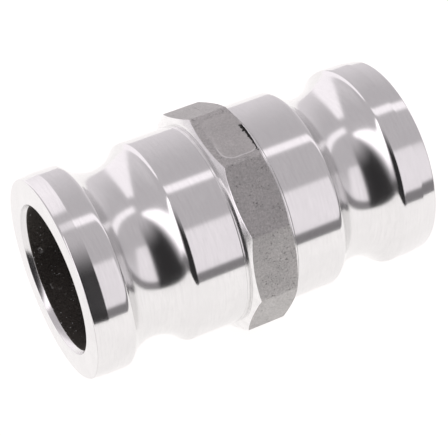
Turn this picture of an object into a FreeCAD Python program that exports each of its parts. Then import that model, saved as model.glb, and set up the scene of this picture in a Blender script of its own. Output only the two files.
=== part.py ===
"""Double-ended cam and groove adapter for 2 inch hose couplings.

Two identical turned cam adapters screw into the two ends of a cast ten-sided
wrench collar. A flat metal sealing ring sits under the shoulder of each adapter.
The bore axis is X, the origin is the middle of the bore, +Z is up, and the collar
rests on its lowest flat. Each adapter unscrews along its own end of X.
"""
import FreeCAD, Part
import math
import os

# ---- driving dimensions, millimetres -----------------------------------------
OVERALL_LENGTH = 112.5      # face to face

NOSE_R = 31.5               # cam nose, 63.0 mm across: the 2 inch size
FACE_R = 30.7               # outer edge of the flat sealing face
FACE_CHAMFER = 0.3          # broken edge between the face and the lead-in
LEAD_IN_LENGTH = 4.7        # slight taper that guides the mating coupling
NOSE_LENGTH = 11.45         # face to the start of the cam groove
NOSE_EDGE = 1.0             # bevel between the nose and the cam groove

GROOVE_R = 26.2             # bottom of the cam groove, 52.4 mm across
BODY_START = 32.1           # face to the start of the plain body
BODY_R = 31.2               # plain body beside the collar
BODY_EDGE = 1.0             # bevel between the cam groove and the body

MOUTH_R = 23.3              # machined mouth of the bore, at the face
MOUTH_INNER_R = 22.75       # the same, where it meets the cast bore
MOUTH_DEPTH = 1.7
BORE_R = 22.6               # as-cast waterway

COLLAR_ACROSS_FLATS = 66.8
COLLAR_SIDES = 10
COLLAR_HALF_WIDTH = 7.5     # middle of the collar to its end face
COLLAR_FACE_R = 32.4        # outer edge of the turned end face
COLLAR_CHAMFER_DEG = 30.0   # slope of the turned chamfer from the end face

PAD_LENGTH = 17.6           # plain raised pad on the top flat, along Y
PAD_WIDTH = 11.6            # the same, along X
PAD_X = 1.2                 # middle of the pad, off the collar's middle
PAD_CORNER_R = 3.6
PAD_HEIGHT = 0.2

RING_THICKNESS = 0.96
RING_INNER_R = 27.4
RING_OUTER_R = 31.2
RING_EDGE = 0.1
SEAT_GAP = 0.02             # each side of a sealing ring

THREAD_MAJOR_R = 27.0
THREAD_PITCH = 1.5
THREAD_FLANK_DEG = 30.0     # half of the 60 degree thread angle
THREAD_ROOT_R = 26.05       # bottom of the adapter's thread
THREAD_BORE_R = 26.2        # crests of the collar's thread
THREAD_FLANK_GAP = 0.05     # axial clearance on each flank
THREAD_CREST_GAP = 0.15     # radial clearance over the adapter's crests
TOOL_OVERLAP = 0.05         # how far a thread cutter reaches past the blank
UNDERCUT_R = 25.6
UNDERCUT_INTO_SHOULDER = 0.5
UNDERCUT_RIM_R = 27.3
UNDERCUT_END = 7.2          # middle of the collar to the end of the undercut
SPIGOT_TIP = 0.4            # middle of the collar to the tip of a spigot
SPIGOT_CHAMFER = 1.0
COLLAR_MOUTH_R = 27.3
COLLAR_MOUTH_CHAMFER = 1.1
RELIEF_HALF_WIDTH = 1.5     # plain groove where the two inside threads end
RELIEF_R = 27.3

# ---- derived places ----------------------------------------------------------
FACE_X = -OVERALL_LENGTH / 2
SHOULDER_X = -(COLLAR_HALF_WIDTH + RING_THICKNESS + 2 * SEAT_GAP)
APOTHEM = COLLAR_ACROSS_FLATS / 2
COLLAR_CORNER_R = APOTHEM / math.cos(math.pi / COLLAR_SIDES)

ORIGIN = FreeCAD.Vector(0, 0, 0)
ALONG_X = FreeCAD.Vector(1, 0, 0)
ALONG_Y = FreeCAD.Vector(0, 1, 0)
ALONG_Z = FreeCAD.Vector(0, 0, 1)


def at(x, radius):
    """Point of an outline in the half plane above the bore axis."""
    return FreeCAD.Vector(x, 0, radius)


def line(start, end):
    return Part.makeLine(at(*start), at(*end))


def lines(points):
    """Straight edges through the points."""
    return [line(start, end) for start, end in zip(points, points[1:])]


def arc(start, middle, end):
    return Part.Arc(at(*start), at(*middle), at(*end)).toShape()


def turned(edges):
    """Solid of revolution about the bore axis from a closed outline."""
    face = Part.Face(Part.Wire(edges))
    return face.revolve(ORIGIN, ALONG_X, 360)


def turned_polygon(points):
    return turned(lines(points + points[:1]))


def facing_right(shape):
    """Copy of a left-hand piece for the right-hand end, turned about Z."""
    copy = shape.copy()
    copy.rotate(ORIGIN, ALONG_Z, 180)
    return copy


def thread_half_width(radius):
    """Half the axial width of the adapter's thread ridge at a radius."""
    crest = THREAD_PITCH / 16
    return crest + (THREAD_MAJOR_R - radius) * math.tan(math.radians(THREAD_FLANK_DEG))


def one_turn_cutter(inner_r, outer_r, half_width):
    """One right-hand turn of a thread groove, starting under the bore axis at x = 0."""
    helix = Part.Wire(Part.makeHelix(THREAD_PITCH, THREAD_PITCH, inner_r).Edges)
    inner = half_width(inner_r)
    outer = half_width(outer_r)
    section = Part.makePolygon([
        FreeCAD.Vector(inner_r, 0, -inner),
        FreeCAD.Vector(outer_r, 0, -outer),
        FreeCAD.Vector(outer_r, 0, outer),
        FreeCAD.Vector(inner_r, 0, inner),
        FreeCAD.Vector(inner_r, 0, -inner),
    ])
    cutter = helix.makePipeShell([section], True, True)
    cutter.rotate(ORIGIN, ALONG_Y, 90)
    return cutter


def cut_thread(blank, cutter, first_turn, turns):
    """Cut the groove turn after turn, from first_turn pitches along X."""
    threaded = blank
    for turn in range(turns):
        tool = cutter.copy()
        tool.translate(ALONG_X * THREAD_PITCH * (first_turn + turn))
        threaded = threaded.cut(tool)
    return threaded


def adapter_outline():
    """Left-hand adapter's outside, from the mouth to the spigot's tip."""
    groove_start = (FACE_X + NOSE_LENGTH + NOSE_EDGE, NOSE_R - NOSE_EDGE)
    groove_end = (FACE_X + BODY_START - BODY_EDGE, BODY_R - BODY_EDGE)
    groove_bottom = ((groove_start[0] + groove_end[0]) / 2, GROOVE_R)
    edges = lines([
        (FACE_X, MOUTH_R),
        (FACE_X, FACE_R),
        (FACE_X + FACE_CHAMFER, FACE_R + FACE_CHAMFER),
        (FACE_X + LEAD_IN_LENGTH, NOSE_R),
        (FACE_X + NOSE_LENGTH, NOSE_R),
        groove_start,
    ])
    edges.append(arc(groove_start, groove_bottom, groove_end))
    edges += lines([
        groove_end,
        (FACE_X + BODY_START, BODY_R),
        (SHOULDER_X, BODY_R),
        (SHOULDER_X, UNDERCUT_RIM_R),
        (SHOULDER_X - UNDERCUT_INTO_SHOULDER, UNDERCUT_RIM_R),
        (SHOULDER_X - UNDERCUT_INTO_SHOULDER, UNDERCUT_R),
        (-UNDERCUT_END, UNDERCUT_R),
        (-UNDERCUT_END, THREAD_MAJOR_R - SPIGOT_CHAMFER),
        (-UNDERCUT_END + SPIGOT_CHAMFER, THREAD_MAJOR_R),
        (-SPIGOT_TIP - SPIGOT_CHAMFER, THREAD_MAJOR_R),
        (-SPIGOT_TIP, THREAD_MAJOR_R - SPIGOT_CHAMFER),
        (-SPIGOT_TIP, BORE_R),
    ])
    return edges


def adapter_bore_outline():
    """Waterway, from the spigot's tip back to the machined mouth."""
    step = MOUTH_INNER_R - BORE_R
    return lines([
        (-SPIGOT_TIP, BORE_R),
        (FACE_X + MOUTH_DEPTH + step, BORE_R),
        (FACE_X + MOUTH_DEPTH, MOUTH_INNER_R),
        (FACE_X, MOUTH_R),
    ])


def left_adapter():
    """Cam nose, groove, plain body and threaded spigot, turned from one casting."""
    blank = turned(adapter_outline() + adapter_bore_outline())
    cutter = one_turn_cutter(
        THREAD_ROOT_R,
        THREAD_MAJOR_R + TOOL_OVERLAP,
        lambda radius: THREAD_PITCH / 2 - thread_half_width(radius) + THREAD_FLANK_GAP,
    )
    return cut_thread(blank, cutter, -5, 5)


def left_sealing_ring():
    """Flat metal ring between the adapter's shoulder and the collar."""
    inner_x = -(COLLAR_HALF_WIDTH + SEAT_GAP)
    outer_x = inner_x - RING_THICKNESS
    return turned_polygon([
        (outer_x, RING_INNER_R),
        (outer_x, RING_OUTER_R - RING_EDGE),
        (outer_x + RING_EDGE, RING_OUTER_R),
        (inner_x - RING_EDGE, RING_OUTER_R),
        (inner_x, RING_OUTER_R - RING_EDGE),
        (inner_x, RING_INNER_R),
    ])


def ten_sided_bar():
    """Bar of the wrench section, with one flat straight down."""
    half = COLLAR_HALF_WIDTH
    corners = []
    for index in range(COLLAR_SIDES + 1):
        angle = 2 * math.pi * index / COLLAR_SIDES
        y = COLLAR_CORNER_R * math.cos(angle)
        z = COLLAR_CORNER_R * math.sin(angle)
        corners.append(FreeCAD.Vector(-half, y, z))
    return Part.Face(Part.makePolygon(corners)).extrude(ALONG_X * 2 * half)


def collar_turning():
    """Round blank that cuts the chamfers on both ends and the bore."""
    half = COLLAR_HALF_WIDTH
    rise = COLLAR_CORNER_R + TOOL_OVERLAP - COLLAR_FACE_R
    chamfer_x = half - rise * math.tan(math.radians(COLLAR_CHAMFER_DEG))
    outer_r = COLLAR_FACE_R + rise
    return turned_polygon([
        (-half, COLLAR_MOUTH_R),
        (-half, COLLAR_FACE_R),
        (-chamfer_x, outer_r),
        (chamfer_x, outer_r),
        (half, COLLAR_FACE_R),
        (half, COLLAR_MOUTH_R),
        (half - COLLAR_MOUTH_CHAMFER, THREAD_BORE_R),
        (RELIEF_HALF_WIDTH, THREAD_BORE_R),
        (RELIEF_HALF_WIDTH, RELIEF_R),
        (-RELIEF_HALF_WIDTH, RELIEF_R),
        (-RELIEF_HALF_WIDTH, THREAD_BORE_R),
        (-half + COLLAR_MOUTH_CHAMFER, THREAD_BORE_R),
    ])


def top_pad():
    """Plain raised pad with round corners on the top flat."""
    low = APOTHEM - TOOL_OVERLAP
    height = PAD_HEIGHT + TOOL_OVERLAP
    corner = FreeCAD.Vector(PAD_X - PAD_WIDTH / 2, -PAD_LENGTH / 2, low)
    pad = Part.makeBox(PAD_WIDTH, PAD_LENGTH, height, corner)
    upright = [edge for edge in pad.Edges if abs(edge.tangentAt(edge.FirstParameter).z) > 0.99]
    return pad.makeFillet(PAD_CORNER_R, upright)


def wrench_collar():
    """Cast ten-sided collar, threaded inside from both ends."""
    collar = ten_sided_bar().common(collar_turning())
    collar = collar.fuse(top_pad().common(collar_turning_envelope()))
    cutter = one_turn_cutter(
        THREAD_BORE_R - TOOL_OVERLAP,
        THREAD_MAJOR_R + THREAD_CREST_GAP,
        lambda radius: thread_half_width(radius) + THREAD_FLANK_GAP,
    )
    half_threaded = cut_thread(collar, cutter, -5.5, 5)
    return cut_thread(facing_right(half_threaded), cutter, -5.5, 5)


def collar_turning_envelope():
    """Chamfered outer shape that the pad also keeps to."""
    half = COLLAR_HALF_WIDTH
    rise = COLLAR_CORNER_R + PAD_HEIGHT - COLLAR_FACE_R
    chamfer_x = half - rise * math.tan(math.radians(COLLAR_CHAMFER_DEG))
    return turned_polygon([
        (-half, 0),
        (-half, COLLAR_FACE_R),
        (-chamfer_x, COLLAR_FACE_R + rise),
        (chamfer_x, COLLAR_FACE_R + rise),
        (half, COLLAR_FACE_R),
        (half, 0),
    ])


def write(name, shape):
    shape.exportStep("parts/%s.step" % name)
    print("%-20s valid %s  solids %d  volume %.0f mm3" % (
        name, shape.isValid(), len(shape.Solids), shape.Volume))


os.makedirs("parts", exist_ok=True)
ADAPTER = left_adapter()
RING = left_sealing_ring()
write("left_adapter", ADAPTER)
write("right_adapter", facing_right(ADAPTER))
write("left_sealing_ring", RING)
write("right_sealing_ring", facing_right(RING))
write("wrench_collar", wrench_collar())
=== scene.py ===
"""Looks of a cam and groove double adapter: turned ends, cast wrench collar, steel rings."""
import math

import bpy
import numpy as np
from mathutils import Matrix, Vector, noise


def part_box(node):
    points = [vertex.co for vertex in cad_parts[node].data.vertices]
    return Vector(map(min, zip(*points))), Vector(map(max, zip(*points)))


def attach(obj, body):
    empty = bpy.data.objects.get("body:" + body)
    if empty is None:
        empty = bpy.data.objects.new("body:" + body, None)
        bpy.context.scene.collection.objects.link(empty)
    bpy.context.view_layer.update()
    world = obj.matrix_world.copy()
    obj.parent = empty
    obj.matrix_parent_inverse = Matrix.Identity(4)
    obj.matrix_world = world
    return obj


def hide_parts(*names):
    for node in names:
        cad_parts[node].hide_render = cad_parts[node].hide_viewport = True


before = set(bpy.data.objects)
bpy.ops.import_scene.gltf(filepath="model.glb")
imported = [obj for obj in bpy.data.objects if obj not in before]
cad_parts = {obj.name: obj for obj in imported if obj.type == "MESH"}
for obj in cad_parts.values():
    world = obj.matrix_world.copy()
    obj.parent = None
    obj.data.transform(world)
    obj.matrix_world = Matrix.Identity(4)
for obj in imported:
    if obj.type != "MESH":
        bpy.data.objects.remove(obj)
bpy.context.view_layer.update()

MM = 0.001
TURN = 2 * math.pi

# ---- driving sizes, metres, the same as the CAD model's ----------------------
nose_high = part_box("left_adapter")[1]
FACE_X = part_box("left_adapter")[0].x        # left-hand sealing face
NOSE_R = nose_high.z                        # cam nose radius
FACE_R = NOSE_R - 0.8 * MM
FACE_CHAMFER = 0.3 * MM
LEAD_IN_LENGTH = 4.7 * MM
NOSE_LENGTH = 11.45 * MM
EDGE = 1.0 * MM                             # 45 degree bevels beside the cam groove
GROOVE_R = 26.2 * MM
BODY_START = 32.1 * MM
BODY_R = 31.2 * MM
MOUTH_R = 23.3 * MM
MOUTH_INNER_R = 22.75 * MM
MOUTH_DEPTH = 1.7 * MM
BORE_R = 22.6 * MM

collar_low, collar_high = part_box("wrench_collar")
APOTHEM = -collar_low.z
COLLAR_HALF_WIDTH = collar_high.x
COLLAR_FACE_R = 32.4 * MM
COLLAR_CHAMFER = math.radians(30)
COLLAR_SIDES = 10
PAD_HEIGHT = collar_high.z - APOTHEM
PAD_LENGTH = 17.6 * MM
PAD_WIDTH = 11.6 * MM
PAD_CORNER_R = 3.6 * MM
PAD_X = 1.2 * MM

ring_low, ring_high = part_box("left_sealing_ring")
RING_OUTER_R = ring_high.z
RING_INNER_R = 27.4 * MM
RING_EDGE = 0.2 * MM                        # reach of the rounding, twice the CAD model's bevel
SHOULDER_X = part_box("left_sealing_ring")[0].x - 0.02 * MM

THREAD_PITCH = 1.5 * MM
THREAD_MAJOR_R = 27.0 * MM
THREAD_ROOT_R = 26.05 * MM
THREAD_BORE_R = 26.2 * MM
THREAD_CREST_GAP = 0.15 * MM
THREAD_FLANK_GAP = 0.05 * MM
THREAD_SLOPE = math.tan(math.radians(30))
UNDERCUT_R = 25.6 * MM
UNDERCUT_RIM_R = 27.3 * MM
UNDERCUT_INTO_SHOULDER = 0.5 * MM
UNDERCUT_END = 7.2 * MM
SPIGOT_TIP = 0.4 * MM
SPIGOT_CHAMFER = 1.0 * MM
COLLAR_MOUTH_R = 27.3 * MM
RELIEF_HALF_WIDTH = 1.5 * MM
RELIEF_R = 27.3 * MM

CAST_UNEVENNESS = 0.16 * MM                 # of the waterway's wall
FLAT_UNEVENNESS = 0.03 * MM                 # of the collar's cast flats
SPIGOT_LIP = 0.25 * MM                      # bevel between the spigot's tip and the waterway
FLATS_ROUNDING = 0.5 * MM                   # at the corners between the collar's flats

AROUND = 480                                # steps around a turned piece
AROUND_COLLAR = 720
CORNER_CROWDING = 0.11                      # how much closer together they are at the collar's corners
THREAD_STEPS = 12                           # rows in one pitch of thread
WALL_STEPS = 90                             # rows along the waterway
CREST_HALF = THREAD_PITCH / 16              # half of the flat on a thread's crest


# ---- outlines ----------------------------------------------------------------
def softened(points, radius, steps=4):
    """Outline with its corners rounded. A point is (x, r) or (x, r, share of the radius).

    A share of 0 leaves a point as it is. A point is held on each side of a rounding, so that the
    smooth shading changes only inside it.
    """
    room_share = 0.4
    room_share_beside_kept_point = 0.7
    hold_share = 0.25
    out = []
    count = len(points)
    for index, point in enumerate(points):
        here = np.array(point[:2], float)
        share = point[2] if len(point) > 2 else 1.0
        if index in (0, count - 1) or share == 0:
            out.append(here)
            continue
        before = np.array(points[index - 1][:2], float) - here
        after = np.array(points[index + 1][:2], float) - here
        room = []
        for side, neighbour in ((before, points[index - 1]), (after, points[index + 1])):
            kept = len(neighbour) > 2 and neighbour[2] == 0
            room.append(np.linalg.norm(side) * (room_share_beside_kept_point if kept else room_share))
        reach = min(radius * share, *room)
        start = here + before / np.linalg.norm(before) * reach
        end = here + after / np.linalg.norm(after) * reach
        hold = hold_share * reach
        out.append(start + before / np.linalg.norm(before) * hold)
        for step in range(steps + 1):
            t = step / steps
            out.append((1 - t) ** 2 * start + 2 * t * (1 - t) * here + t ** 2 * end)
        out.append(end + after / np.linalg.norm(after) * hold)
    return out


def subdivided(points, longest):
    """Outline with extra points, so that no piece is longer than longest."""
    out = [points[0]]
    for start, end in zip(points, points[1:]):
        pieces = max(1, math.ceil(np.linalg.norm(np.subtract(end, start)) / longest))
        for step in range(1, pieces + 1):
            out.append(np.array(start) + (np.array(end) - np.array(start)) * step / pieces)
    return out


def groove_arc(start, end, bottom_r, steps=40):
    """Round bottom of the cam groove, through its deepest point half way."""
    half = (end[0] - start[0]) / 2
    rim_r = (start[1] + end[1]) / 2
    sag = rim_r - bottom_r
    radius = (half ** 2 + sag ** 2) / (2 * sag)
    centre_x = (start[0] + end[0]) / 2
    out = []
    for step in range(steps + 1):
        x = start[0] + (end[0] - start[0]) * step / steps
        tilt = (start[1] - end[1]) * (0.5 - step / steps)
        out.append((x, bottom_r + radius + tilt - math.sqrt(radius ** 2 - (x - centre_x) ** 2), 0))
    return out


def adapter_outside():
    """Left adapter from the mouth over the face, nose, groove and body to the shoulder."""
    groove_start = (FACE_X + NOSE_LENGTH + EDGE, NOSE_R - EDGE)
    groove_end = (FACE_X + BODY_START - EDGE, BODY_R - EDGE)
    points = [
        (FACE_X + MOUTH_DEPTH, MOUTH_INNER_R, 0.3),
        (FACE_X, MOUTH_R, 0.3),
        (FACE_X, FACE_R, 0.5),
        (FACE_X + FACE_CHAMFER, FACE_R + FACE_CHAMFER, 0.5),
        (FACE_X + LEAD_IN_LENGTH, NOSE_R, 0.6),
        (FACE_X + NOSE_LENGTH, NOSE_R, 2.7),
    ]
    points += groove_arc(groove_start, groove_end, GROOVE_R)
    points += [
        (FACE_X + BODY_START, BODY_R, 2.7),
        (SHOULDER_X, BODY_R, 0.15),
        (SHOULDER_X, UNDERCUT_RIM_R, 0.3),
        (SHOULDER_X - UNDERCUT_INTO_SHOULDER, UNDERCUT_RIM_R, 0.3),
        (SHOULDER_X - UNDERCUT_INTO_SHOULDER, UNDERCUT_R, 0.6),
        (-UNDERCUT_END, UNDERCUT_R, 0.3),
    ]
    return points


def off_ridge(x, angle):
    """Distance along X from the middle of the thread's ridge, at an angle around the axis."""
    phase = (x / THREAD_PITCH - angle / TURN) % 1.0
    return abs(phase - 0.5) * THREAD_PITCH


def thread_radius(x, angle):
    """Adapter's thread."""
    flank = THREAD_MAJOR_R - (off_ridge(x, angle) - CREST_HALF) / THREAD_SLOPE
    return max(THREAD_ROOT_R, min(THREAD_MAJOR_R, flank))


# ---- meshes ------------------------------------------------------------------
def grid_mesh(name, rows, closed_rows=False):
    """Mesh from rows of points around the X axis: rows[i][j] is (x, y, z)."""
    around = len(rows[0])
    count = len(rows)
    verts = [tuple(p) for row in rows for p in row]
    faces = []
    last = count if closed_rows else count - 1
    for i in range(last):
        below = i * around
        above = ((i + 1) % count) * around
        for j in range(around):
            k = (j + 1) % around
            faces.append((below + j, below + k, above + k, above + j))
    mesh = bpy.data.meshes.new(name)
    mesh.from_pydata(verts, [], faces)
    mesh.validate()
    mesh.shade_smooth()
    return mesh


def piece(name, mesh, body, node, materials):
    """Object that stands for a CAD node and rides on its body."""
    obj = bpy.data.objects.new(name, mesh)
    bpy.context.scene.collection.objects.link(obj)
    for material in materials:
        mesh.materials.append(material)
    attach(obj, body)
    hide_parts(node)
    return obj


def ring_of(x, radius, angles):
    """Circle of points about the X axis. Angle 0 is +Y and a quarter turn is +Z."""
    return [(x, radius * math.cos(a), radius * math.sin(a)) for a in angles]


def cast_offset(x, angle, seed, amount):
    """Unevenness of a cast wall, larger lumps and small grain together."""
    place = Vector((x / MM * 0.22 + seed, math.cos(angle) * 5.0, math.sin(angle) * 5.0))
    lumps = noise.fractal(place, 1.0, 2.0, 4)
    grain = noise.noise(place * 5.3)
    return amount * (0.75 * lumps + 0.25 * grain)


def adapter_mesh(name, seed):
    """Left-hand adapter as one closed surface: outside, threaded spigot and cast waterway."""
    angles = [TURN * j / AROUND for j in range(AROUND)]
    rows = []
    outside = subdivided(softened(adapter_outside(), 0.35 * MM), 2.5 * MM)
    for x, radius in outside:
        rows.append(ring_of(x, radius, angles))

    thread_start = -UNDERCUT_END + 0.001 * MM
    thread_end = -SPIGOT_TIP
    count = int((thread_end - thread_start) / THREAD_PITCH * THREAD_STEPS) + 1
    for i in range(count + 1):
        x = thread_start + (thread_end - thread_start) * i / count
        from_tip = (thread_end - x) + THREAD_MAJOR_R - SPIGOT_CHAMFER
        from_undercut = (x - thread_start) + UNDERCUT_R
        limit = min(THREAD_MAJOR_R, from_tip, from_undercut)
        row = []
        for a in angles:
            radius = min(limit, thread_radius(x, a))
            row.append((x, radius * math.cos(a), radius * math.sin(a)))
        rows.append(row)

    wall_start = -SPIGOT_TIP - SPIGOT_LIP
    wall_end = FACE_X + MOUTH_DEPTH + MOUTH_INNER_R - BORE_R
    rows.append(ring_of(-SPIGOT_TIP, BORE_R + SPIGOT_LIP, angles))
    for i in range(WALL_STEPS + 1):
        t = i / WALL_STEPS
        x = wall_start + (wall_end - wall_start) * t
        fade = min(1.0, t * 8, (1 - t) * 14 + 0.35)
        rows.append([
            (x, r * math.cos(a), r * math.sin(a))
            for a in angles
            for r in [BORE_R + fade * cast_offset(x, a, seed, CAST_UNEVENNESS)]
        ])
    rows.append(ring_of(FACE_X + MOUTH_DEPTH + 0.05 * MM, MOUTH_INNER_R - 0.05 * MM, angles))
    return grid_mesh(name, rows, closed_rows=True)


def ring_mesh(name):
    """Flat sealing ring with broken outer edges, left-hand side."""
    low = ring_low.x
    high = ring_high.x
    outline = [
        (low, RING_INNER_R),
        (low, RING_OUTER_R),
        (high, RING_OUTER_R, 0.15),
        (high, RING_INNER_R),
    ]
    angles = [TURN * j / AROUND for j in range(AROUND)]
    return grid_mesh(name, [ring_of(x, r, angles) for x, r in softened(outline, RING_EDGE, 5)], True)


def side_angles():
    """Angles around the collar, closer together at its corners. Corner 0 is at +Y."""
    out = []
    per_side = AROUND_COLLAR // COLLAR_SIDES
    for side in range(COLLAR_SIDES):
        for step in range(per_side):
            t = step / per_side
            eased = t - CORNER_CROWDING * math.sin(TURN * t)
            out.append((side + eased) * TURN / COLLAR_SIDES)
    return out


def flats_radius(angle):
    """Radius of the ten-sided section at an angle, with slightly rounded corners."""
    side = TURN / COLLAR_SIDES
    off = (angle % side) - side / 2
    flat = APOTHEM / math.cos(off)
    corner_r = APOTHEM / math.cos(side / 2)
    to_corner = (side / 2 - abs(off)) * corner_r
    soft = max(0.0, 1 - to_corner / (1.6 * FLATS_ROUNDING))
    return flat - soft ** 2 * 0.144 * FLATS_ROUNDING


def pad_rise(x, angle):
    """Height of the raised pad above the top flat at a place on that flat."""
    if math.sin(angle) < 0.8:
        return 0.0
    y = APOTHEM / math.tan(angle)
    dx = abs(x - PAD_X) - (PAD_WIDTH / 2 - PAD_CORNER_R)
    dy = abs(y) - (PAD_LENGTH / 2 - PAD_CORNER_R)
    outside = math.hypot(max(dx, 0), max(dy, 0)) + min(max(dx, dy), 0) - PAD_CORNER_R
    back = min(1.0, max(0.0, (y + 2 * MM) / (7 * MM)))
    t = min(1.0, max(0.0, (-outside + 0.05 * MM) / ((1.1 + 1.4 * back) * MM)))
    return PAD_HEIGHT * t * t * (3 - 2 * t)


def torn_depth(x, angle):
    """Depth of the torn casting skin along the right-hand edge of the top flat."""
    if math.sin(angle) < 0.8:
        return 0.0
    y = APOTHEM / math.tan(angle)
    along = min(1.0, max(0.0, (y + 9.3 * MM) / MM)) * min(1.0, max(0.0, (2.8 * MM - y) / MM))
    ragged = noise.noise(Vector((y / MM * 1.5, 3.0, x / MM * 0.8)))
    inward = x - (5.9 + 0.75 * ragged) * MM
    return along * min(1.0, max(0.0, inward / (0.35 * MM))) * (0.16 + 0.12 * ragged) * MM


def collar_mesh(name):
    """Collar: cast flats, turned chamfers and end faces, thread from both ends."""
    angles = side_angles()
    half = COLLAR_HALF_WIDTH
    slope = math.tan(COLLAR_CHAMFER)
    rows = []

    def outer_row(share):
        """share runs from -1 to 1 over the flats, between the two chamfers' edges."""
        row = []
        for a in angles:
            base = flats_radius(a)
            edge_x = half - (base - COLLAR_FACE_R) * slope
            x = share * edge_x
            rise = pad_rise(x, a)
            near_edge = min(1.0, (edge_x - abs(x)) / (0.5 * MM))
            grain = cast_offset(x, a, 40.0, FLAT_UNEVENNESS) * near_edge
            radius = base + rise / max(0.2, math.sin(a)) * near_edge + grain - torn_depth(x, a)
            softening = max(0.0, 1 - (edge_x - abs(x)) / (0.16 * MM)) ** 2 * 0.03 * MM
            row.append((x, (radius - softening) * math.cos(a), (radius - softening) * math.sin(a)))
        return row

    def chamfer_row(t, side):
        """t runs from 0 at the end face to 1 at the flat's edge."""
        row = []
        for a in angles:
            top = flats_radius(a)
            radius = COLLAR_FACE_R + (top - COLLAR_FACE_R) * t
            x = half - (radius - COLLAR_FACE_R) * slope
            row.append((side * x, radius * math.cos(a), radius * math.sin(a)))
        return row

    inner = []
    count = int(2 * half / THREAD_PITCH * THREAD_STEPS)
    for i in range(count + 1):
        x = half - 2 * half * i / count
        row = []
        for a in angles:
            reach = (off_ridge(x, a) - CREST_HALF - THREAD_FLANK_GAP) / THREAD_SLOPE
            groove = THREAD_MAJOR_R - reach
            radius = max(THREAD_BORE_R, min(THREAD_MAJOR_R + THREAD_CREST_GAP, groove))
            mouth = COLLAR_MOUTH_R - (half - abs(x))
            radius = max(radius, mouth)
            if abs(x) < RELIEF_HALF_WIDTH:
                radius = RELIEF_R
            row.append((x, radius * math.cos(a), radius * math.sin(a)))
        inner.append(row)

    flat_shares = [-1 + 2 * i / 64 for i in range(65)]
    rows.append(ring_of(-half, COLLAR_FACE_R - 0.12 * MM, angles))
    rows += [chamfer_row(t, -1) for t in (0.05, 0.3, 0.6, 0.96)]
    rows += [outer_row(share * 0.9995) for share in flat_shares]
    rows += [chamfer_row(t, 1) for t in (0.96, 0.6, 0.3, 0.05)]
    rows.append(ring_of(half, COLLAR_FACE_R - 0.12 * MM, angles))
    rows += inner
    return grid_mesh(name, rows, closed_rows=True)


def turned_about_z(mesh):
    """Right-hand copy of a left-hand mesh."""
    mesh.transform(Matrix.Rotation(math.pi, 4, "Z"))
    return mesh


# ---- material building blocks --------------------------------------------------
class Nodes:
    """Short hand for a material's or world's node tree."""

    def __init__(self, tree):
        self.tree = tree
        tree.nodes.clear()

    def add(self, kind, inputs=None, **settings):
        node = self.tree.nodes.new(kind)
        for key, value in settings.items():
            setattr(node, key, value)
        for key, value in (inputs or {}).items():
            self.put(node.inputs[key], value)
        return node

    def put(self, socket, value):
        if isinstance(value, bpy.types.NodeSocket):
            self.tree.links.new(value, socket)
        elif isinstance(value, bpy.types.Node):
            self.tree.links.new(value.outputs[0], socket)
        else:
            socket.default_value = value

    def math(self, operation, a, b=0.0):
        node = self.add("ShaderNodeMath", operation=operation)
        self.put(node.inputs[0], a)
        self.put(node.inputs[1], b)
        return node.outputs[0]

    def total(self, *values):
        """Sum of the values."""
        out = values[0]
        for value in values[1:]:
            out = self.math("ADD", out, value)
        return out

    def product(self, *values):
        """Product of the values."""
        out = values[0]
        for value in values[1:]:
            out = self.math("MULTIPLY", out, value)
        return out

    def vector(self, operation, a, b):
        """Sum or product of a vector and a constant one, part by part."""
        return self.add("ShaderNodeVectorMath", {0: a, 1: b}, operation=operation).outputs[0]

    def ramp(self, value, low, high, start=0.0, end=1.0):
        """Smooth step of value from low to high, giving start to end."""
        node = self.add("ShaderNodeMapRange", interpolation_type="SMOOTHSTEP", clamp=True)
        self.put(node.inputs[0], value)
        for index, number in zip((1, 2, 3, 4), (low, high, start, end)):
            node.inputs[index].default_value = number
        return node.outputs[0]

    def blend(self, share, a, b):
        """Number between a and b."""
        return self.add("ShaderNodeMix", {0: share, 2: a, 3: b}, data_type="FLOAT").outputs[0]

    def mix(self, share, a, b):
        """Colour between a and b."""
        return self.add("ShaderNodeMix", {0: share, 6: a, 7: b}, data_type="RGBA").outputs[2]

    def noise(self, vector, scale, detail, roughness):
        node = self.add("ShaderNodeTexNoise", {
            "Vector": vector, "Scale": scale, "Detail": detail, "Roughness": roughness})
        return node.outputs[0]


def grey(value, warmth=0.0):
    """Grey that leans to red where warmth is above 0, and to blue below it."""
    return (value * (1 + warmth), value, value * (1 - warmth), 1.0)


# noise settings: scale (for places in millimetres, larger is finer), detail and roughness
SMEAR = (1.0, 6.0, 0.72)
SCRATCH = (1.3, 4.0, 0.7)
MOTTLE = (0.55, 5.0, 0.7)
TURNED_CLOUDS = (0.11, 3.0, 0.55)
BORE_GRAIN = (2.6, 6.0, 0.7)
BORE_PITS = (0.9, 3.0, 0.6)
BORE_FLECKS = (1.7, 2.0, 0.4)
CAST_GRAIN = (1.6, 6.0, 0.85)
CAST_FINE = (3.4, 3.0, 0.7)
CAST_BLOTCHES = (0.16, 3.0, 0.55)
SPECKS = (1.5, 4.0, 0.7)
SPECK_CROWDS = (0.30, 3.0, 0.6)
# ragged line of the painted shadow along the top flat's right-hand edge
SHADOW_EDGE = (0.8, 3.0, 0.8)
SMEAR_STRETCH = (1.7, 0.16, 0.16)           # drawn out around the axis
SCRATCH_STRETCH = (3.2, 0.5, 0.5)

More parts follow.
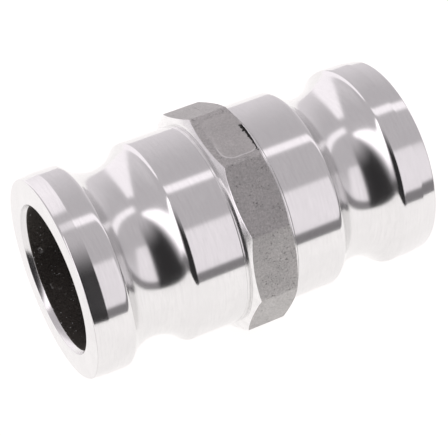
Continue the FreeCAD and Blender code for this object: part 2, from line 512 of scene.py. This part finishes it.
TURNED_LIGHT = grey(0.79, 0.003)
TURNED_DARKER = grey(0.765, 0.002)
TURNED_SMEAR = grey(0.745, 0.003)
TURNED_MOTTLE = grey(0.62, 0.008)
TURNED_SCRATCH = grey(0.42, 0.01)
BORE_DARK = grey(0.045, 0.10)
BORE_LIGHTER = grey(0.16, 0.10)
BORE_PIT = grey(0.30, 0.04)
BORE_FLECK = grey(0.85, -0.02)
CAST_BASE = grey(0.515, 0.020)
CAST_LIGHTER = grey(0.565, 0.022)
CAST_HOLLOW = grey(0.30, 0.014)
CAST_GLINT = grey(0.74, 0.006)
CAST_SPECK = grey(0.12, 0.03)
# lighter colour of the pad's rim, along its front and the front part of its left side only
CAST_BRIGHT_RIM = grey(0.80, 0.006)
# painted shadow, nearly black, along the right-hand edge of the top flat beside the pad
CAST_PAINTED_SHADOW = grey(0.022, 0.06)


def new_material(name):
    """Empty node material and its nodes."""
    material = bpy.data.materials.new(name)
    material.use_nodes = True
    return material, Nodes(material.node_tree)


def millimetres(nodes):
    """Place on the piece in millimetres, with its three parts and the radius."""
    place = nodes.add("ShaderNodeTexCoord").outputs["Object"]
    scaled = nodes.add("ShaderNodeVectorMath", {0: place}, operation="SCALE")
    scaled.inputs["Scale"].default_value = 1 / MM
    x, y, z = nodes.add("ShaderNodeSeparateXYZ", {0: scaled.outputs[0]}).outputs
    radius = nodes.math("SQRT", nodes.total(nodes.product(y, y), nodes.product(z, z)))
    return scaled.outputs[0], x, y, z, radius


def turning_marks(nodes, x, radius, scale):
    """Fine rings left by the lathe tool: noise that changes along X and with the radius only."""
    line = nodes.add("ShaderNodeCombineXYZ", {0: x, 1: radius})
    return nodes.noise(line.outputs[0], scale, 3.0, 0.65)


def turned_shader(nodes, colour, rough, bump, anisotropy):
    """Metal whose highlights are drawn out by rings around the X axis."""
    tangent = nodes.add("ShaderNodeTangent", direction_type="RADIAL", axis="X")
    shader = nodes.add("ShaderNodeBsdfPrincipled", {
        "Base Color": colour, "Metallic": 1.0, "Roughness": rough, "Tangent": tangent,
        "Anisotropic": anisotropy, "Anisotropic Rotation": 0.25, "Normal": bump})
    nodes.add("ShaderNodeOutputMaterial", {0: shader.outputs[0]})


def turned_steel(name, seed):
    """Bright turned steel outside and a dark, rough cast wall in the waterway."""
    material, nodes = new_material(name)
    place, x, _, _, radius = millimetres(nodes)
    place = nodes.vector("ADD", place, (seed, 0, 0))
    fine = turning_marks(nodes, x, radius, 9.0)
    broad = turning_marks(nodes, x, radius, 1.1)
    smear = nodes.noise(nodes.vector("MULTIPLY", place, SMEAR_STRETCH), *SMEAR)
    scratches = nodes.noise(nodes.vector("MULTIPLY", place, SCRATCH_STRETCH), *SCRATCH)
    mottle = nodes.noise(place, *MOTTLE)
    clouds = nodes.noise(place, *TURNED_CLOUDS)
    grain = nodes.noise(place, *BORE_GRAIN)
    pits = nodes.noise(place, *BORE_PITS)
    flecks = nodes.noise(place, *BORE_FLECKS)

    in_groove = nodes.ramp(radius, BODY_R / MM - 0.3, BODY_R / MM - 1.6)
    on_lip = nodes.ramp(radius, MOUTH_R / MM + 0.7, MOUTH_R / MM + 0.2, 0.0, 0.05)
    bore_edge = BORE_R / MM + 0.13
    in_bore = nodes.ramp(radius, bore_edge, bore_edge - 0.06)

    bright = nodes.mix(nodes.ramp(clouds, 0.35, 0.65), TURNED_LIGHT, TURNED_DARKER)
    bright = nodes.mix(nodes.ramp(smear, 0.38, 0.70), bright, TURNED_SMEAR)
    bright = nodes.mix(nodes.product(nodes.ramp(mottle, 0.55, 0.75), 0.20), bright, TURNED_MOTTLE)
    bright = nodes.mix(nodes.product(nodes.ramp(scratches, 0.70, 0.78), 0.45), bright, TURNED_SCRATCH)
    dark = nodes.mix(nodes.ramp(grain, 0.35, 0.7), BORE_DARK, BORE_LIGHTER)
    dark = nodes.mix(nodes.product(nodes.ramp(pits, 0.62, 0.72), 0.5), dark, BORE_PIT)
    dark = nodes.mix(nodes.ramp(flecks, 0.71, 0.745), dark, BORE_FLECK)
    colour = nodes.mix(in_bore, bright, dark)

    rough_bright = nodes.total(0.07, nodes.product(fine, 0.07), nodes.product(smear, 0.05),
                               nodes.product(in_groove, 0.035), on_lip)
    rough_bore = nodes.total(0.55, nodes.product(grain, 0.3))
    rough = nodes.blend(in_bore, rough_bright, rough_bore)

    marks = nodes.total(nodes.product(fine, 0.55), nodes.product(broad, 0.45), nodes.product(smear, 0.06))
    height = nodes.blend(in_bore, nodes.product(marks, 0.007), nodes.product(grain, 0.5))
    bump = nodes.add("ShaderNodeBump", {"Height": height, "Strength": 0.6, "Distance": 0.0003})
    turned_shader(nodes, colour, rough, bump, 0.5)
    return material


def plain_turned_steel(name, marks, clouds, light, dark, smoothest, spread, bump, anisotropy):
    """Turned steel without wear. marks and clouds are noise scales, bump is strength and distance."""
    material, nodes = new_material(name)
    place, x, _, _, radius = millimetres(nodes)
    fine = turning_marks(nodes, x, radius, marks)
    cloudy = nodes.ramp(nodes.noise(place, clouds, 3.0, 0.6), 0.35, 0.7)
    rough = nodes.total(smoothest, nodes.product(fine, spread))
    strength, distance = bump
    bumps = nodes.add("ShaderNodeBump", {"Height": fine, "Strength": strength, "Distance": distance})
    turned_shader(nodes, nodes.mix(cloudy, light, dark), rough, bumps, anisotropy)
    return material


def outside_pad(nodes, x, y):
    """Distance from the pad's rounded outline in millimetres, below 0 inside it."""
    from_middle = nodes.math("ABSOLUTE", nodes.math("SUBTRACT", x, PAD_X / MM))
    across = nodes.math("SUBTRACT", from_middle, (PAD_WIDTH / 2 - PAD_CORNER_R) / MM)
    along = nodes.math("SUBTRACT", nodes.math("ABSOLUTE", y), (PAD_LENGTH / 2 - PAD_CORNER_R) / MM)
    squares = [nodes.math("POWER", nodes.math("MAXIMUM", part, 0.0), 2.0) for part in (across, along)]
    corner = nodes.math("SUBTRACT", nodes.math("SQRT", nodes.total(*squares)), PAD_CORNER_R / MM)
    return nodes.total(corner, nodes.math("MINIMUM", nodes.math("MAXIMUM", across, along), 0.0))


def cast_steel(name):
    """Blasted cast flats with specks, a smoother pad and painted shadow, nearly black, along the edge
    beside it.
    """
    material, nodes = new_material(name)
    place, x, y, z, _ = millimetres(nodes)
    grain = nodes.noise(place, *CAST_GRAIN)
    fine = nodes.noise(place, *CAST_FINE)
    blotches = nodes.noise(place, *CAST_BLOTCHES)
    specks = nodes.noise(place, *SPECKS)
    # specks come in crowds, more of them on the flats at the front
    crowds = nodes.total(nodes.noise(place, *SPECK_CROWDS), nodes.ramp(y, -26.0, -31.0, 0.0, 0.07))
    speck = nodes.product(nodes.ramp(specks, 0.55, 0.64), nodes.ramp(crowds, 0.49, 0.62))

    # raised pad on the top flat, with a lighter rim along its front and the front part of its left side
    on_top = nodes.ramp(z, APOTHEM / MM - 0.4, APOTHEM / MM - 0.2)
    outside = outside_pad(nodes, x, y)
    pad = nodes.product(nodes.ramp(outside, 0.1, -0.3), on_top)
    rim = nodes.product(nodes.ramp(outside, -0.45, -0.12), nodes.ramp(outside, 0.22, 0.02), on_top,
                        nodes.ramp(y, -0.5, -5.0), nodes.ramp(x, 7.0, 5.5))

    # painted shadow, nearly black, along the ragged right-hand edge of the top flat beside the pad
    shadow_line = nodes.total(4.3, nodes.product(nodes.noise(place, *SHADOW_EDGE), 3.1))
    pad_side_shadow = nodes.product(nodes.ramp(nodes.math("SUBTRACT", x, shadow_line), -0.1, 0.12), on_top,
                         nodes.ramp(y, -9.6, -8.6), nodes.ramp(y, 3.0, 2.0))

    def strength(elsewhere, on_pad):
        """How strongly a mark shows away from the pad and on it."""
        return nodes.ramp(pad, 0.0, 1.0, elsewhere, on_pad)

    colour = nodes.mix(nodes.ramp(blotches, 0.3, 0.7), CAST_BASE, CAST_LIGHTER)
    hollows = nodes.product(nodes.ramp(grain, 0.38, 0.62), strength(0.62, 0.35))
    colour = nodes.mix(hollows, colour, CAST_HOLLOW)
    glints = nodes.product(nodes.ramp(fine, 0.50, 0.72), strength(0.55, 0.30))
    colour = nodes.mix(glints, colour, CAST_GLINT)
    colour = nodes.mix(nodes.product(speck, strength(0.80, 0.15)), colour, CAST_SPECK)
    colour = nodes.mix(nodes.product(rim, 0.55), colour, CAST_BRIGHT_RIM)
    # painted shadow along the ragged right-hand edge of the top flat
    colour = nodes.mix(pad_side_shadow, colour, CAST_PAINTED_SHADOW)

    rough = nodes.total(0.44, nodes.product(grain, 0.16))
    height = nodes.total(nodes.product(grain, 0.7), nodes.product(fine, 0.3))
    height = nodes.math("SUBTRACT", height, nodes.product(speck, 0.5))
    bump = nodes.add("ShaderNodeBump", {"Height": height, "Strength": 0.6, "Distance": 0.00016})
    shader = nodes.add("ShaderNodeBsdfPrincipled", {
        "Base Color": colour, "Metallic": 1.0, "Roughness": rough, "Normal": bump})
    nodes.add("ShaderNodeOutputMaterial", {0: shader.outputs[0]})
    return material


# ---- pieces --------------------------------------------------------------------
STEEL = [turned_steel("turned_steel_left", 0.0), turned_steel("turned_steel_right", 57.0)]
RING_STEEL = plain_turned_steel(
    "ring_steel", marks=14.0, clouds=0.3, light=grey(0.82, 0.003), dark=grey(0.76, 0.004),
    smoothest=0.12, spread=0.12, bump=(0.25, 0.00003), anisotropy=0.5)
CAST_STEEL = cast_steel("cast_steel")
COLLAR_TURNED = plain_turned_steel(
    "collar_turned_steel", marks=10.0, clouds=0.2, light=grey(0.87, 0.003), dark=grey(0.80, 0.004),
    smoothest=0.16, spread=0.14, bump=(0.3, 0.00004), anisotropy=0.6)
FACES_ALONG_X = 0.75                        # a turned face's normal has at least this much X

piece("left_cam_adapter", adapter_mesh("left_cam_adapter", 0.0), "left_end",
      "left_adapter", [STEEL[0]])
piece("right_cam_adapter", turned_about_z(adapter_mesh("right_cam_adapter", 31.0)), "right_end",
      "right_adapter", [STEEL[1]])
piece("left_ring", ring_mesh("left_ring"), "left_ring",
      "left_sealing_ring", [RING_STEEL])
piece("right_ring", turned_about_z(ring_mesh("right_ring")), "right_ring",
      "right_sealing_ring", [RING_STEEL])
collar = piece("ten_sided_collar", collar_mesh("ten_sided_collar"), "collar",
               "wrench_collar", [CAST_STEEL, COLLAR_TURNED])
for polygon in collar.data.polygons:
    from_axis = math.hypot(polygon.center.y, polygon.center.z)
    if abs(polygon.normal.x) > FACES_ALONG_X or from_axis < THREAD_MAJOR_R + 1.0 * MM:
        polygon.material_index = 1


# ---- stage ---------------------------------------------------------------------
LIGHT_SHEET_REACH = 0.27                    # how far the lit sheet spreads from the coupling
FLOOR_REACH = 6.0
SHEET_SIDES = 96
SHEET_COLOUR = (1.0, 0.975, 0.965, 1.0)
SHEET_GLOW = 0.90
LIGHT_COLOUR = (1.0, 0.945, 0.985, 1.0)     # of every wall and light in the tent
WALL_HIGH = 0.58                            # brightness of the pale walls overhead and low down
WALL_LOW = 0.80

# Even areas of the tent, each over the ones before it: what it is, its brightness and its soft edges.
# An edge is a measure of direction, its value where the area has faded out and where it is full.
# x and y are parts of the direction, and the other measures are angles in degrees.
TENT_AREAS = (
    ("light at the front right", 1.0,
     (("x", 0.10, 0.20), ("bearing", 60.0, 46.0), ("lean", 37.0, 43.0))),
    ("long light overhead", 1.25,
     (("y", 0.04, 0.11), ("y", 0.26, 0.19), ("x", -0.05, 0.12))),
    ("broad light at the left", 1.6,
     (("bearing", -96.0, -91.0), ("bearing", -60.0, -72.0), ("height", 84.0, 76.0))),
    ("light at the back", 1.2,
     (("from_back", -14.0, -6.0), ("from_back", 26.0, 18.0), ("height", 68.0, 60.0))),
    ("unlit strip beyond the sheet's front edge", 0.25,
     (("height", 3.0, -1.0), ("y", 0.0, -0.2))),
    ("dark opening at the front", 0.03,
     (("bearing", -72.0, -50.0), ("x", 0.22, 0.08), ("height", 84.0, 40.0), ("y", 0.02, -0.04))),
)

CAMERA_LENS = 134.4
CAMERA_PLACE = (-0.166565, -0.300054, 0.371100)
CAMERA_RIGHT = (0.88275, -0.46951, 0.01739)
CAMERA_UP = (0.33489, 0.65474, 0.67762)


def sheet_mesh(name, reach, z):
    """Round flat sheet, low enough for the collar to rest on."""
    angles = [TURN * j / SHEET_SIDES for j in range(SHEET_SIDES)]
    mesh = bpy.data.meshes.new(name)
    verts = [(reach * math.cos(a), reach * math.sin(a), z) for a in angles]
    mesh.from_pydata(verts, [], [tuple(range(SHEET_SIDES))])
    return mesh


def floor():
    """Plain white sheet lit from below, on a larger pale floor that gloss doesn't show."""
    material, nodes = new_material("floor")
    shader = nodes.add("ShaderNodeBsdfPrincipled", {
        "Base Color": grey(0.30), "Roughness": 0.8,
        "Emission Color": SHEET_COLOUR, "Emission Strength": SHEET_GLOW})
    nodes.add("ShaderNodeOutputMaterial", {0: shader.outputs[0]})
    sheets = (("floor", FLOOR_REACH, -APOTHEM - 0.2 * MM), ("light_sheet", LIGHT_SHEET_REACH, -APOTHEM))
    for name, reach, z in sheets:
        mesh = sheet_mesh(name, reach, z)
        mesh.materials.append(material)
        obj = bpy.data.objects.new(name, mesh)
        bpy.context.scene.collection.objects.link(obj)
        obj.visible_glossy = name != "floor"


def studio():
    """Plain light tent: pale walls, four soft lights and the dark opening at the front."""
    world = bpy.data.worlds.new("studio")
    bpy.context.scene.world = world
    world.use_nodes = True
    nodes = Nodes(world.node_tree)
    direction = nodes.add("ShaderNodeTexCoord").outputs["Generated"]
    x, y, z = nodes.add("ShaderNodeSeparateXYZ", {0: direction}).outputs
    front = nodes.product(y, -1.0)
    left = nodes.product(x, -1.0)

    def degrees(radians):
        return nodes.product(radians, 180 / math.pi)

    lean = degrees(nodes.math("ARCTAN2", front, z))
    measures = {
        "x": x,
        "y": y,
        "height": degrees(nodes.math("ARCSINE", z)),
        "bearing": degrees(nodes.math("ARCTAN2", x, front)),
        "from_back": degrees(nodes.math("ARCTAN2", left, y)),
        "lean": lean,
    }
    level = nodes.ramp(nodes.math("ABSOLUTE", lean), 30.0, 100.0, WALL_HIGH, WALL_LOW)
    for _, brightness, edges in TENT_AREAS:
        mask = nodes.product(*[nodes.ramp(measures[measure], out, full) for measure, out, full in edges])
        level = nodes.blend(mask, level, brightness)

    inside = nodes.add("ShaderNodeBackground", {0: LIGHT_COLOUR, 1: level})
    behind = nodes.add("ShaderNodeBackground", {0: (1.0, 1.0, 1.0, 1.0), 1: 1.0})
    seen = nodes.add("ShaderNodeLightPath").outputs["Is Camera Ray"]
    chosen = nodes.add("ShaderNodeMixShader", {0: seen, 1: inside.outputs[0], 2: behind.outputs[0]})
    nodes.add("ShaderNodeOutputWorld", {0: chosen.outputs[0]})


def camera():
    """Long lens above the left front, turned a little about its own axis."""
    data = bpy.data.cameras.new("camera")
    data.lens = CAMERA_LENS
    data.sensor_width = 36.0
    obj = bpy.data.objects.new("camera", data)
    bpy.context.scene.collection.objects.link(obj)
    right_axis = Vector(CAMERA_RIGHT)
    up_axis = Vector(CAMERA_UP)
    back_axis = right_axis.cross(up_axis).normalized()
    up_axis = back_axis.cross(right_axis)
    turn = Matrix((right_axis, up_axis, back_axis)).transposed().to_4x4()
    obj.matrix_world = Matrix.Translation(CAMERA_PLACE) @ turn
    bpy.context.scene.camera = obj


floor()
studio()
camera()
bpy.context.scene.view_settings.view_transform = "Standard"
